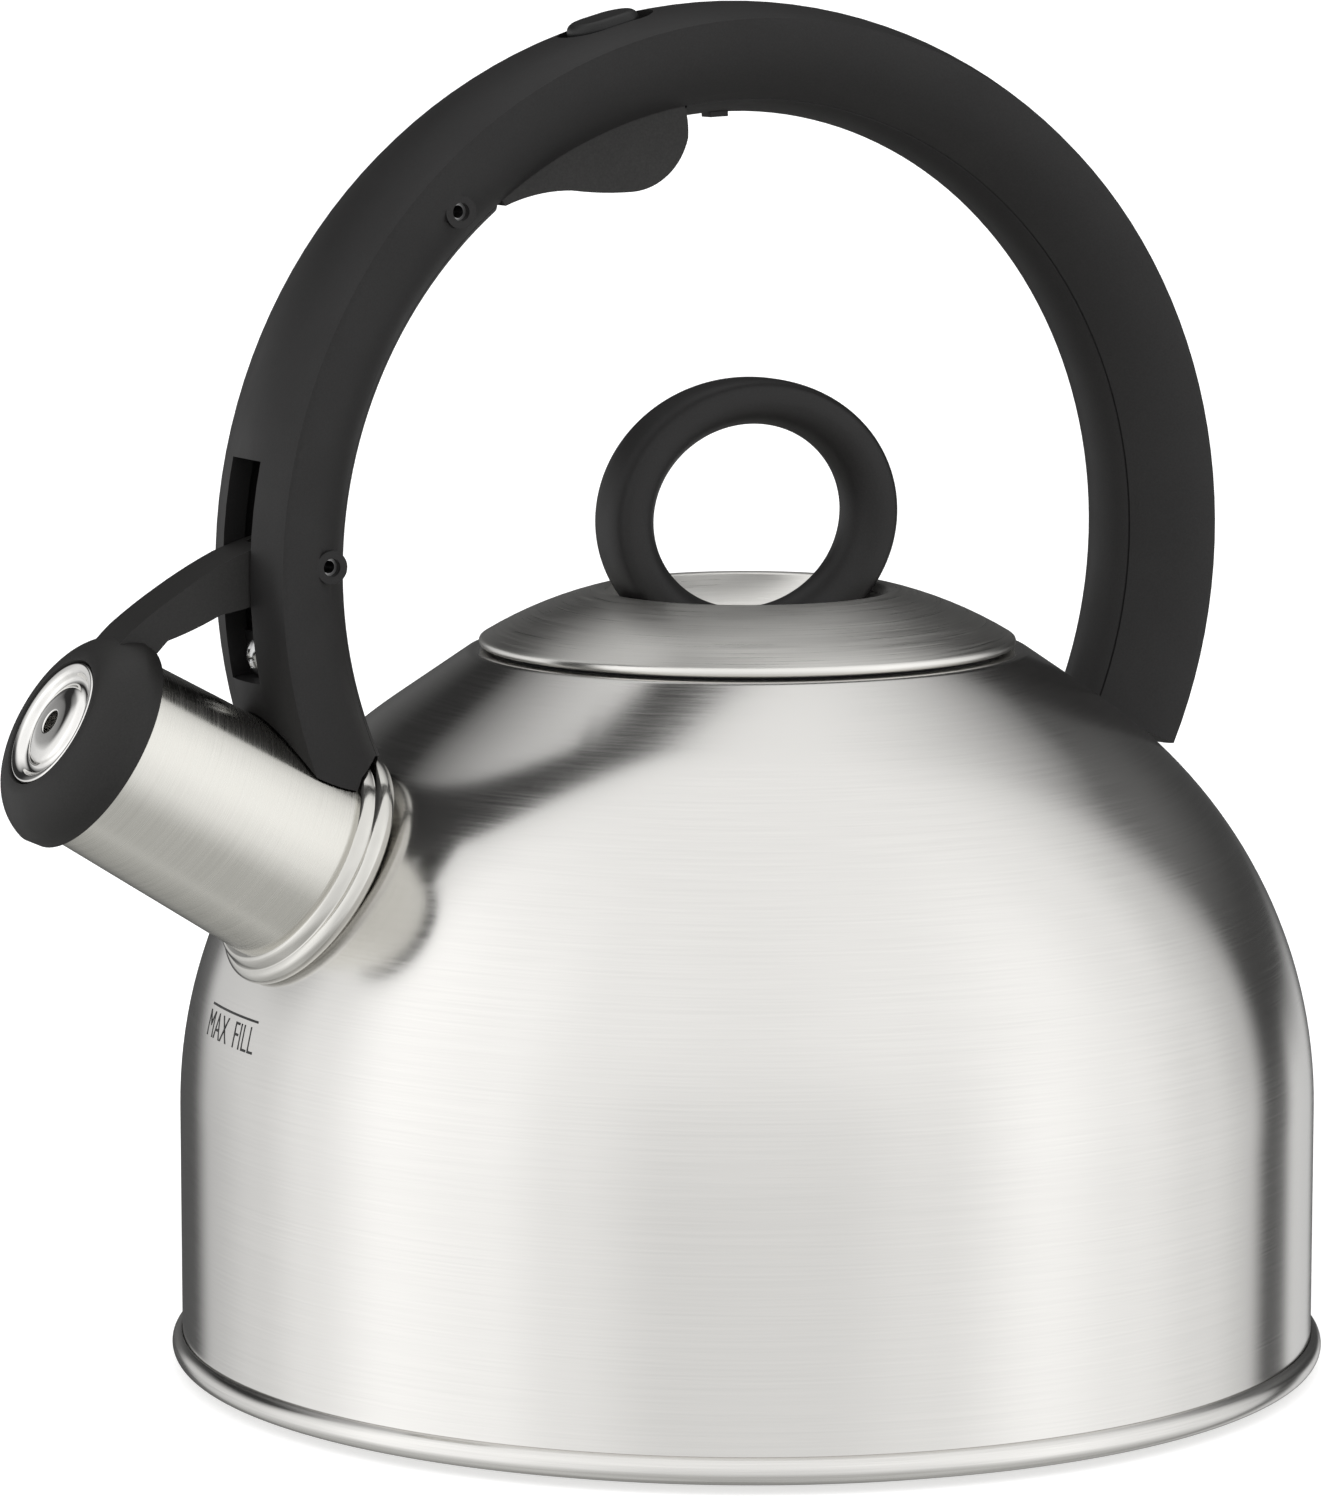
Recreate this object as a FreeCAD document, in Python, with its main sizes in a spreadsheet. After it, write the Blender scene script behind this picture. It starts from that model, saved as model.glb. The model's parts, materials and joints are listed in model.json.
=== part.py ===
"""Stovetop whistling kettle, built piece by piece as a parametric document (millimetres).

The frame: origin at the centre of the base, on the hob; +Z up; the spout points
towards -X; the arched handle lies in the plane y = 0.
"""
import FreeCAD
import Part
import Sketcher
import math
import os

from FreeCAD import Placement, Rotation, Vector

doc = FreeCAD.newDocument("whistling_kettle")
sheet = doc.addObject("Spreadsheet::Sheet", "Sizes")

ROW = [0]


def size(alias, value):
    """Put one driving dimension in the sheet and return it as a number."""
    ROW[0] += 1
    cell = "B%d" % ROW[0]
    sheet.set("A%d" % ROW[0], alias)
    sheet.set(cell, str(value))
    sheet.setAlias(cell, alias)
    return float(value)


# ---- vessel ----
body_radius = size("body_radius", 97.5)
wall = size("wall", 0.7)
shoulder_z = size("shoulder_z", 45.0)
shoulder_radius = size("shoulder_radius", 83.5)
shoulder_angle = size("shoulder_angle", 55.6)
neck_radius = size("neck_radius", 47.6)
neck_top = size("neck_top", 123.2)
mouth_radius = size("mouth_radius", 40.2)
mouth_lip = size("mouth_lip", 4.7)
rim_top = size("rim_top", 5.9)
seat_z = size("seat_z", 5.0)
bead_radius = size("bead_radius", 2.35)
foot_radius = size("foot_radius", 93.0)
pan_wall = size("pan_wall", 0.8)
spreader_radius = size("spreader_radius", 90.0)
floor_wall = size("floor_wall", 0.75)
gap = size("gap", 0.3)

# ---- spout, along its own axis ----
spout_x = size("spout_x", -92.4)
spout_z = size("spout_z", 97.0)
spout_rise = size("spout_rise", 30.6)
tube_root_radius = size("tube_root_radius", 18.35)
tube_mouth_radius = size("tube_mouth_radius", 16.32)
tube_root = size("tube_root", -20.0)
tube_mouth = size("tube_mouth", 34.5)
tube_wall = size("tube_wall", 0.8)
collar_foot = size("collar_foot", -12.4)
collar_waist = size("collar_waist", -8.8)
collar_end = size("collar_end", -6.8)
collar_radius = size("collar_radius", 20.2)

# ---- handle ----
arch_x = size("arch_x", -3.5)
arch_z = size("arch_z", 140.3)
arch_crown = size("arch_crown", 92.7)
arch_crease = size("arch_crease", 90.1)
arch_inner = size("arch_inner", 74.2)
arch_half = size("arch_half", 13.1)
seam_reach = size("seam_reach", 76.3)
seam_half = size("seam_half", 6.4)
crown_bend = size("crown_bend", 34.3)
side_bend = size("side_bend", 17.4)
inner_bend = size("inner_bend", 10.68)
rear_end = size("rear_end", -24.5)
front_end = size("front_end", 218.5)
channel_outer = size("channel_outer", 88.5)
channel_half = size("channel_half", 6.7)
channel_rear = size("channel_rear", -8.0)
channel_front = size("channel_front", 186.0)
strap_pocket = size("strap_pocket", 81.2)
strap_half = size("strap_half", 5.0)
strap_inner = size("strap_inner", 78.6)
strap_outer = size("strap_outer", 80.6)
cover_wall = size("cover_wall", 1.4)
cover_bend = size("cover_bend", 10.0)
slot_half = size("slot_half", 5.3)
slot_top = size("slot_top", 167.9)
slot_bottom = size("slot_bottom", 190.7)
screw_seat = size("screw_seat", 86.4)
front_seat = size("front_seat", 89.0)
front_screw_angle = size("front_screw_angle", 188.5)
rear_screw_angle = size("rear_screw_angle", -15.0)
screw_radius = size("screw_radius", 1.9)
screw_head = size("screw_head", 2.9)
trigger_open = size("trigger_open", 98.9)
trigger_shut = size("trigger_shut", 128.4)

# ---- trigger, spout cap and their pins ----
trigger_x = size("trigger_x", -60.5)
trigger_z = size("trigger_z", 199.6)
cap_x = size("cap_x", -84.0)
cap_z = size("cap_z", 142.4)
pin_radius = size("pin_radius", 1.5)
pin_bore = size("pin_bore", 1.05)
running = size("running", 0.05)
boss_radius = size("boss_radius", 2.75)
trigger_boss = size("trigger_boss", 12.2)
cap_boss = size("cap_boss", 11.6)
paddle_half = size("paddle_half", 6.3)
lever_half = size("lever_half", 2.0)
hub_radius = size("hub_radius", 3.5)
arm_half = size("arm_half", 4.8)
tail_reach = size("tail_reach", 8.0)
tail_half = size("tail_half", 3.6)
tail_angle = size("tail_angle", 112.7)
drive_pin = size("drive_pin", 1.0)
cap_skirt = size("cap_skirt", 33.8)
cap_radius = size("cap_radius", 18.7)
cap_bore = size("cap_bore", 17.5)
cap_face = size("cap_face", 42.6)
whistle_radius = size("whistle_radius", 10.9)
whistle_hole = size("whistle_hole", 2.0)

# ---- thumb lock on the crown ----
lock_angle = size("lock_angle", 105.3)
lock_length = size("lock_length", 13.5)
lock_half = size("lock_half", 4.9)
lock_slot_length = size("lock_slot_length", 18.2)
lock_slot_shift = size("lock_slot_shift", 0.5)

# ---- lid ----
lid_radius = size("lid_radius", 45.6)
lid_edge = size("lid_edge", 125.2)
lid_rim_radius = size("lid_rim_radius", 25.4)
lid_rim_top = size("lid_rim_top", 133.5)
dish_radius = size("dish_radius", 18.9)
dish_z = size("dish_z", 127.9)
lid_wall = size("lid_wall", 0.8)
plug_radius = size("plug_radius", 39.6)
plug_bottom = size("plug_bottom", 113.5)
knob_z = size("knob_z", 145.7)
knob_long = size("knob_long", 27.6)
knob_high = size("knob_high", 23.5)
knob_hole_long = size("knob_hole_long", 19.0)
knob_hole_high = size("knob_hole_high", 15.7)
knob_half = size("knob_half", 5.6)
knob_floor = size("knob_floor", 129.6)

doc.recompute()


# ---------------------------------------------------------------- helpers
def origin_plane(body, role):
    """The body's own origin plane with this role."""
    return [p for p in body.Origin.OriginFeatures if p.Role == role][0]


def new_body(label):
    """An empty PartDesign body whose label is its node name."""
    body = doc.addObject("PartDesign::Body", label)
    body.Label = label
    return body


def read(words):
    """The number that an expression over the sheet gives."""
    value = sheet.evalExpression(words)
    return float(getattr(value, "Value", value))


def edge(start, end, bend):
    """A straight or bent sketch edge; bend is (radius, side), side -1 outwards."""
    if bend is None:
        return Part.LineSegment(start, end)
    chord = end - start
    left = Vector(-chord.y, chord.x, 0).normalize()
    half = chord.Length / 2.0
    radius = read(bend[0])
    sag = radius - math.sqrt(max(radius * radius - half * half, 0.0))
    middle = (start + end) * 0.5 + left * (sag * bend[1])
    if bend[1] > 0:
        return Part.ArcOfCircle(end, middle, start)
    return Part.ArcOfCircle(start, middle, end)


def outline(body, plane, corners):
    """A closed sketch tied to the sheet. Each corner is (across, up) or
    (across, up, bend), the bend belonging to the edge that leaves it."""
    sketch = body.newObject("Sketcher::SketchObject", body.Name + "_outline")
    sketch.AttachmentSupport = (origin_plane(body, plane), [""])
    sketch.MapMode = "FlatFace"
    spots = [Vector(read(str(c[0])), read(str(c[1])), 0) for c in corners]
    count = len(spots)
    ends = []
    for i, corner in enumerate(corners):
        bend = corner[2] if len(corner) == 3 else None
        sketch.addGeometry(edge(spots[i], spots[(i + 1) % count], bend))
        turned_round = (sketch.Geometry[i].StartPoint - spots[i]).Length > 1e-6
        ends.append((2, 1) if turned_round else (1, 2))
    for i in range(count):
        after = (i + 1) % count
        sketch.addConstraint(Sketcher.Constraint("Coincident", i, ends[i][1], after, ends[after][0]))
    for i, corner in enumerate(corners):
        for kind, words, value in (("DistanceX", corner[0], spots[i].x),
                                   ("DistanceY", corner[1], spots[i].y)):
            rule = sketch.addConstraint(Sketcher.Constraint(kind, -1, 1, i, ends[i][0], value))
            if isinstance(words, str):
                sketch.setExpression("Constraints[%d]" % rule, words)
        if len(corner) == 3:
            rule = sketch.addConstraint(Sketcher.Constraint("Radius", i, read(corner[2][0])))
            sketch.setExpression("Constraints[%d]" % rule, corner[2][0])
    return sketch


def place(obj, across, up, turn, depth="0"):
    """Put an object at (across, depth, up), turned about +Y; all in sheet words."""
    obj.Placement = Placement(Vector(read(across), read(depth), read(up)),
                              Rotation(Vector(0, 1, 0), read(turn)))
    obj.setExpression("Placement.Base.x", across)
    obj.setExpression("Placement.Base.y", depth)
    obj.setExpression("Placement.Base.z", up)
    obj.setExpression("Placement.Rotation.Angle", turn)
    return obj


def turned(label, corners):
    """A full turn about the vertical axis of an outline of (radius, height)."""
    body = new_body(label)
    sketch = outline(body, "XZ_Plane", corners)
    turn = body.newObject("PartDesign::Revolution", label + "_turn")
    turn.Profile = sketch
    turn.ReferenceAxis = (sketch, ["V_Axis"])
    turn.Angle = 360.0
    return body


def on_spout(body):
    """Stand a piece on the spout's axis, its own +Z pointing out of the spout."""
    return place(body, "Sizes.spout_x", "Sizes.spout_z", "Sizes.spout_rise - 90")


def on_arch(body, angle):
    """Stand a piece on the handle's arch, its own +Z pointing outwards at an angle."""
    return place(body, "Sizes.arch_x", "Sizes.arch_z", "90 - (%s)" % angle)


def padded(label, corners, half):
    """A plate of an outline in the handle's plane, half its thickness each side."""
    body = new_body(label)
    sketch = outline(body, "XZ_Plane", corners)
    pad = body.newObject("PartDesign::Pad", label + "_pad")
    pad.Profile = sketch
    pad.SideType = "Symmetric"
    pad.Length = 2.0 * read(half)
    pad.setExpression("Length", "2 * (%s)" % half)
    return body


def arched(label, corners, start, end):
    """An outline of (reach, side) carried round the handle's arch between two angles."""
    body = new_body(label)
    sketch = outline(body, "XY_Plane", corners)
    sketch.AttachmentOffset = Placement(Vector(arch_x, 0, arch_z),
                                        Rotation(Vector(0, 1, 0), -read(start)))
    sketch.setExpression("AttachmentOffset.Base.x", "Sizes.arch_x")
    sketch.setExpression("AttachmentOffset.Base.z", "Sizes.arch_z")
    turn = body.newObject("PartDesign::Revolution", label + "_turn")
    turn.Profile = sketch
    turn.ReferenceAxis = (sketch, ["V_Axis"])
    turn.Reversed = True
    turn.Angle = read(end) - read(start)
    turn.setExpression("Angle", "(%s) - (%s)" % (end, start))
    return body


def cross_bar(label, across, up, radius, half):
    """A round bar along Y through (across, up)."""
    bar = doc.addObject("Part::Cylinder", label)
    bar.Label = label
    bar.Radius = read(radius)
    bar.Height = 2.0 * read(half)
    bar.Placement = Placement(Vector(read(across), read(half), read(up)), Rotation(Vector(1, 0, 0), 90))
    bar.setExpression("Radius", radius)
    bar.setExpression("Height", "2 * (%s)" % half)
    bar.setExpression("Placement.Base.x", across)
    bar.setExpression("Placement.Base.y", half)
    bar.setExpression("Placement.Base.z", up)
    return bar


def cut(label, base, *tools):
    """The base less every tool."""
    for i, tool in enumerate(tools):
        last = i == len(tools) - 1
        result = doc.addObject("Part::Cut", label if last else "%s_cut%d" % (label, i))
        result.Base = base
        result.Tool = tool
        base = result
    base.Label = label
    return base


def fuse(label, *pieces):
    """Several solids joined into one moulding."""
    result = doc.addObject("Part::MultiFuse", label)
    result.Shapes = list(pieces)
    result.Refine = True
    result.Label = label
    return result


def block(label, reach, side_half, start, end):
    """A block round the arch between two reaches and two angles."""
    low, high = reach
    return arched(label, [(low, "-(%s)" % side_half), (high, "-(%s)" % side_half),
                          (high, side_half), (low, side_half)], start, end)


def wire_coil(label, across, up, start, turns, coil, wire):
    """A close-wound torsion spring about a pin along Y: touching turns and one short leg."""
    axis = Vector(0, 1, 0)
    winds = [Part.makeTorus(coil, wire, Vector(across, start + 1.8 * wire * k, up), axis)
             for k in range(turns)]
    leg = Part.makeCylinder(0.8 * wire, coil + 0.2, Vector(across + coil, start, up), Vector(0, 0, 1))
    piece = doc.addObject("Part::Feature", label)
    piece.Label = label
    piece.Shape = winds[0].fuse(winds[1:] + [leg])
    return piece


# ---------------------------------------------------------------- vessel
OUT = -1
IN = 1
cone_r = "(Sizes.shoulder_radius * cos(Sizes.shoulder_angle))"
cone_z = "(Sizes.shoulder_radius * sin(Sizes.shoulder_angle))"
dome_r = "Sizes.body_radius - Sizes.shoulder_radius + " + cone_r
dome_z = "Sizes.shoulder_z + " + cone_z
skin_r = dome_r + " - Sizes.wall * cos(Sizes.shoulder_angle)"
skin_z = dome_z + " - Sizes.wall * sin(Sizes.shoulder_angle)"

shell = turned("kettle_shell", [
    ("Sizes.body_radius - Sizes.wall", "Sizes.seat_z"),
    ("Sizes.body_radius", "Sizes.seat_z"),
    ("Sizes.body_radius", "Sizes.shoulder_z", ("Sizes.shoulder_radius", OUT)),
    (dome_r, dome_z),
    ("Sizes.neck_radius", "Sizes.neck_top"),
    ("Sizes.mouth_radius", "Sizes.neck_top"),
    ("Sizes.mouth_radius", "Sizes.neck_top - Sizes.mouth_lip"),
    ("Sizes.mouth_radius + Sizes.wall", "Sizes.neck_top - Sizes.mouth_lip"),
    ("Sizes.mouth_radius + Sizes.wall", "Sizes.neck_top - Sizes.wall"),
    ("Sizes.neck_radius - 0.3", "Sizes.neck_top - Sizes.wall"),
    (skin_r, skin_z, ("Sizes.shoulder_radius - Sizes.wall", IN)),
    ("Sizes.body_radius - Sizes.wall", "Sizes.shoulder_z")])

dome = turned("dome_form", [
    ("0", "0"), ("Sizes.body_radius", "0"),
    ("Sizes.body_radius", "Sizes.shoulder_z", ("Sizes.shoulder_radius", OUT)),
    (dome_r, dome_z), ("Sizes.neck_radius", "Sizes.neck_top"), ("0", "Sizes.neck_top")])
dome_clear = turned("dome_clear", [
    ("0", "0"), ("Sizes.body_radius + Sizes.gap", "0"),
    ("Sizes.body_radius + Sizes.gap", "Sizes.shoulder_z",
     ("Sizes.shoulder_radius + Sizes.gap", OUT)),
    (dome_r + " + Sizes.gap", dome_z + " + Sizes.gap"),
    ("Sizes.neck_radius + Sizes.gap", "Sizes.neck_top + Sizes.gap"),
    ("0", "Sizes.neck_top + Sizes.gap")])

bore = on_spout(turned("spout_bore", [
    ("0", "-40"), ("Sizes.tube_root_radius - Sizes.tube_wall", "-40"),
    ("Sizes.tube_root_radius - Sizes.tube_wall", "10"), ("0", "10")]))
kettle_body = cut("kettle_body", shell, bore)

base_pan = turned("base_pan", [
    ("0", "0"), ("Sizes.foot_radius", "0"),
    ("Sizes.body_radius - 0.6", "1.3", ("Sizes.bead_radius", OUT)),
    ("Sizes.body_radius + 0.1", "Sizes.rim_top"),
    ("Sizes.body_radius + 0.05", "Sizes.seat_z"),
    ("Sizes.body_radius - 1.1", "Sizes.seat_z"),
    ("Sizes.body_radius - 1.1", "Sizes.seat_z - 0.8"),
    ("Sizes.foot_radius - 0.5", "Sizes.pan_wall"), ("0", "Sizes.pan_wall")])
heat_spreader = turned("heat_spreader", [
    ("0", "Sizes.pan_wall"), ("Sizes.spreader_radius", "Sizes.pan_wall"),
    ("Sizes.spreader_radius", "Sizes.seat_z - Sizes.floor_wall"),
    ("0", "Sizes.seat_z - Sizes.floor_wall")])
pot_floor = turned("pot_floor", [
    ("0", "Sizes.seat_z - Sizes.floor_wall"),
    ("Sizes.body_radius - 1.15", "Sizes.seat_z - Sizes.floor_wall"),
    ("Sizes.body_radius - 1.15", "Sizes.seat_z"), ("0", "Sizes.seat_z")])


# ---------------------------------------------------------------- spout
def tube_radius(along):
    """The tube's outside radius at a distance along the spout, in sheet words."""
    return ("Sizes.tube_root_radius + (Sizes.tube_mouth_radius - Sizes.tube_root_radius)"
            " * ((%s) - Sizes.tube_root) / (Sizes.tube_mouth - Sizes.tube_root)" % along)


tube_blank = on_spout(turned("tube_blank", [
    ("Sizes.tube_root_radius - Sizes.tube_wall", "Sizes.tube_root"),
    ("Sizes.tube_root_radius", "Sizes.tube_root"),
    ("Sizes.tube_mouth_radius", "Sizes.tube_mouth"),
    ("Sizes.tube_mouth_radius - Sizes.tube_wall", "Sizes.tube_mouth")]))
spout_tube = cut("spout_tube", tube_blank, dome)
tube_clear = on_spout(turned("tube_clear", [
    ("0", "Sizes.tube_root"), ("Sizes.tube_root_radius + Sizes.gap", "Sizes.tube_root"),
    ("Sizes.tube_mouth_radius + Sizes.gap", "Sizes.tube_mouth"), ("0", "Sizes.tube_mouth")]))
collar_blank = on_spout(turned("collar_blank", [
    (tube_radius("Sizes.collar_foot"), "Sizes.collar_foot"),
    ("Sizes.collar_radius", "Sizes.collar_foot", ("1.85", OUT)),
    ("Sizes.collar_radius - 0.3", "Sizes.collar_waist", ("3", OUT)),
    ("Sizes.collar_radius - 1.3", "Sizes.collar_end"),
    (tube_radius("Sizes.collar_end"), "Sizes.collar_end")]))
collar_clear = on_spout(turned("collar_clear", [
    ("0", "Sizes.collar_foot - 8"), ("Sizes.collar_radius + 1.6", "Sizes.collar_foot - 8"),
    ("Sizes.collar_radius + 1.6", "Sizes.collar_waist"),
    ("Sizes.collar_radius - 0.7", "Sizes.collar_end + Sizes.gap"),
    ("0", "Sizes.collar_end + Sizes.gap")]))
spout_collar = cut("spout_collar", collar_blank, dome)


# ---------------------------------------------------------------- handle
arch_blank = arched("arch_blank", [
    ("Sizes.arch_crease", "-Sizes.arch_half", ("Sizes.crown_bend", OUT)),
    ("Sizes.arch_crease", "Sizes.arch_half", ("Sizes.side_bend", OUT)),
    ("Sizes.seam_reach", "Sizes.seam_half", ("Sizes.inner_bend", OUT)),
    ("Sizes.seam_reach", "-Sizes.seam_half", ("Sizes.side_bend", OUT))],
    "Sizes.rear_end", "Sizes.front_end")
trigger_bosses = cross_bar("trigger_bosses", "Sizes.trigger_x", "Sizes.trigger_z",
                           "Sizes.boss_radius", "Sizes.trigger_boss")
cap_bosses = cross_bar("cap_bosses", "Sizes.cap_x", "Sizes.cap_z",
                       "Sizes.boss_radius", "Sizes.cap_boss")
arch_solid = fuse("arch_solid", arch_blank, trigger_bosses, cap_bosses)
channel = block("channel", ("66", "Sizes.channel_outer"), "Sizes.channel_half",
                "Sizes.channel_rear", "Sizes.channel_front")
rear_pocket = block("rear_pocket", ("66", "Sizes.strap_pocket"), "Sizes.channel_half",
                    "Sizes.rear_end - 4", "Sizes.channel_rear + 0.5")
front_pocket = block("front_pocket", ("66", "Sizes.strap_pocket"), "Sizes.channel_half",
                     "Sizes.channel_front - 0.5", "Sizes.front_end + 4")
arm_slot = block("arm_slot", ("Sizes.screw_seat", "Sizes.arch_crown + 4"), "Sizes.slot_half",
                 "Sizes.slot_top", "Sizes.channel_front")
screw_slot = block("screw_slot", ("Sizes.front_seat", "Sizes.arch_crown + 4"), "Sizes.slot_half",
                   "Sizes.channel_front - 0.5", "Sizes.slot_bottom")


def lock_slot(label, low, high, length, half, shift):
    """An upright stadium at the lock's place on the crown."""
    body = new_body(label)
    sketch = outline(body, "XY_Plane", [
        ("%s - %s / 2 + %s" % (shift, length, half), "-(%s)" % half),
        ("%s + %s / 2 - %s" % (shift, length, half), "-(%s)" % half, (half + " + 0.02", OUT)),
        ("%s + %s / 2 - %s" % (shift, length, half), half),
        ("%s - %s / 2 + %s" % (shift, length, half), half, (half + " + 0.02", OUT))])
    sketch.AttachmentOffset = Placement(Vector(0, 0, read(low)), Rotation())
    pad = body.newObject("PartDesign::Pad", label + "_pad")
    pad.Profile = sketch
    pad.Length = read(high) - read(low)
    pad.setExpression("Length", "(%s) - (%s)" % (high, low))
    return on_arch(body, "Sizes.lock_angle")


lock_opening = lock_slot("lock_opening", "Sizes.channel_outer - 2", "Sizes.arch_crown + 4",
                         "Sizes.lock_slot_length", "(Sizes.lock_half + 0.35)",
                         "Sizes.lock_slot_shift")
trigger_pin_hole = cross_bar("trigger_pin_hole", "Sizes.trigger_x", "Sizes.trigger_z",
                             "Sizes.pin_radius", "Sizes.trigger_boss + 2")
cap_pin_hole = cross_bar("cap_pin_hole", "Sizes.cap_x", "Sizes.cap_z",
                         "Sizes.pin_radius", "Sizes.cap_boss + 2")


def screw_well(label, angle, seat, top):
    """A stepped round hole for a handle screw: clearance below, head recess above."""
    return on_arch(turned(label, [
        ("0", "60"), ("Sizes.screw_radius", "60"), ("Sizes.screw_radius", seat),
        ("Sizes.screw_head + 0.5", seat), ("Sizes.screw_head + 0.5", top),
        ("0", top)]), angle)


front_well = screw_well("front_well", "Sizes.front_screw_angle", "Sizes.front_seat",
                        "Sizes.arch_crown + 4")
rear_well = screw_well("rear_well", "Sizes.rear_screw_angle", "Sizes.screw_seat",
                       "Sizes.arch_crown + 4")
handle_shell = cut("handle_shell", arch_solid, channel, rear_pocket, front_pocket, arm_slot,
                   screw_slot, lock_opening, trigger_pin_hole, cap_pin_hole, front_well, rear_well,
                   dome_clear, tube_clear, collar_clear)


def cover_strip(label, start, end):
    """A curved strip that closes the handle's inner side between two angles."""
    return arched(label, [
        ("Sizes.seam_reach", "Sizes.seam_half", ("Sizes.inner_bend", OUT)),
        ("Sizes.seam_reach", "-Sizes.seam_half"),
        ("Sizes.seam_reach + Sizes.cover_wall", "-Sizes.seam_half", ("Sizes.cover_bend", IN)),
        ("Sizes.seam_reach + Sizes.cover_wall", "Sizes.seam_half")], start, end)


rear_strip = cover_strip("rear_strip", "Sizes.rear_end + 1.5", "Sizes.trigger_open")
clip_tab = block("clip_tab", ("Sizes.arch_inner - 0.8", "Sizes.arch_inner + 0.8"), "1.6",
                 "91.0", "93.6")
rear_trimmed = cut("rear_trimmed", rear_strip, dome_clear)
rear_cover = fuse("rear_cover", rear_trimmed, clip_tab)
front_strip = cover_strip("front_strip", "Sizes.trigger_shut", "Sizes.front_end - 6.5")
tail_relief = block("tail_relief", ("75.6", "82"), "Sizes.tail_half + 0.4", "164", "184")
front_cover = cut("front_cover", front_strip, dome_clear, tube_clear, collar_clear, tail_relief)

rear_strap = block("rear_strap", ("Sizes.strap_inner", "Sizes.strap_outer"), "Sizes.strap_half",
                   "Sizes.rear_end - 8", "Sizes.channel_rear - 1")
rear_screw_hole = on_arch(turned("rear_screw_hole", [
    ("0", "60"), ("Sizes.screw_radius", "60"), ("Sizes.screw_radius", "90"), ("0", "90")]),
    "Sizes.rear_screw_angle")
rear_bracket = cut("rear_bracket", rear_strap, dome, rear_screw_hole)
front_strap = block("front_strap", ("Sizes.strap_inner", "Sizes.strap_outer"), "Sizes.strap_half",
                    "Sizes.channel_front - 2", "Sizes.front_end")
front_screw_hole = on_arch(turned("front_screw_hole", [
    ("0", "60"), ("Sizes.screw_radius", "60"), ("Sizes.screw_radius", "90"), ("0", "90")]),
    "Sizes.front_screw_angle")
tube_core = on_spout(turned("tube_core", [
    ("0", "Sizes.tube_root"), ("Sizes.tube_root_radius", "Sizes.tube_root"),
    ("Sizes.tube_mouth_radius", "Sizes.tube_mouth"), ("0", "Sizes.tube_mouth")]))
front_bracket = cut("front_bracket", front_strap, dome, tube_core, collar_clear, front_screw_hole)


def handle_screw(label, angle, seat):
    """A pan-head screw with a cross recess, standing on the arch."""
    blank = on_arch(turned(label + "_blank", [
        ("0", "77.2"), ("Sizes.screw_radius - 0.6", "77.2"), ("Sizes.screw_radius", "78.0"),
        ("Sizes.screw_radius", seat), ("Sizes.screw_head", seat),
        ("Sizes.screw_head", seat + " + 1.1", ("4.6", OUT)), ("0", seat + " + 2.2")]), angle)
    slots = []
    for name, long_side, wide_side in (("_along", 3.0, 0.7), ("_across", 0.7, 3.0)):
        slot = doc.addObject("Part::Box", label + name)
        slot.Length = long_side
        slot.Width = wide_side
        slot.Height = 3.0
        turn = Rotation(Vector(0, 1, 0), 90 - read(angle))
        corner = Vector(-long_side / 2, -wide_side / 2, read(seat) + 0.9)
        slot.Placement = Placement(Vector(arch_x, 0, arch_z) + turn.multVec(corner), turn)
        slots.append(slot)
    return cut(label, blank, *slots)


front_screw = handle_screw("front_handle_screw", "Sizes.front_screw_angle", "Sizes.front_seat")
rear_screw = handle_screw("rear_handle_screw", "Sizes.rear_screw_angle", "Sizes.screw_seat")


def hollow_pin(label, across, up, half):
    """A tubular pin with a bore down its middle."""
    solid = cross_bar(label + "_blank", across, up, "Sizes.pin_radius", half)
    hole = cross_bar(label + "_bore", across, up, "Sizes.pin_bore", half + " + 1")
    return cut(label, solid, hole)


trigger_pin = hollow_pin("trigger_pin", "Sizes.trigger_x", "Sizes.trigger_z",
                         "(Sizes.trigger_boss - 1.4)")
cap_pin = hollow_pin("cap_pin", "Sizes.cap_x", "Sizes.cap_z", "(Sizes.cap_boss - 1.4)")


# ---------------------------------------------------------------- trigger
tail_x = "Sizes.cap_x + Sizes.tail_reach * cos(Sizes.tail_angle)"
tail_z = "Sizes.cap_z + Sizes.tail_reach * sin(Sizes.tail_angle)"
drive_turn = "180 - atan((%s - Sizes.trigger_z) / (%s - Sizes.trigger_x)) / 1 deg" % (tail_z, tail_x)

paddle = padded("paddle", [
    (-49.3, 200.0, ("30", IN)), (-36.8, 202.2, ("60", OUT)),
    (-25.5, 201.7, ("11.5", OUT)), (-15.0, 210.5, ("14", OUT)), (-16.2, 217.2),
    (-30.0, 213.9), (-43.0, 207.6), (-51.9, 203.6)], "Sizes.paddle_half")
trigger_hub = cross_bar("trigger_hub", "Sizes.trigger_x", "Sizes.trigger_z", "5", "3.9")
trigger_arm = block("trigger_arm", ("81.0", "85.0"), "Sizes.lever_half", "134", "170.5")
fork = place(padded("fork", [
    (-5.6, -2.65), (0.9, -2.65), (0.9, -1.4), (-4.0, -1.4),
    (-4.0, 1.4), (0.9, 1.4), (0.9, 2.2), (-3.4, 2.2), (-5.6, 1.2)], "Sizes.lever_half"),
    tail_x, tail_z, drive_turn)
paddle_web = padded("paddle_web", [
    (-60.5, 195.4), (-52.0, 199.4), (-46.0, 203.0), (-48.0, 206.0), (-60.5, 203.8)], "3.9")
trigger_moulding = fuse("trigger_moulding", paddle, paddle_web, trigger_hub,
                        trigger_arm, fork)
trigger_bearing = cross_bar("trigger_bearing", "Sizes.trigger_x", "Sizes.trigger_z",
                            "Sizes.pin_radius + Sizes.running", "8")
trigger = cut("trigger", trigger_moulding, trigger_bearing)
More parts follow.
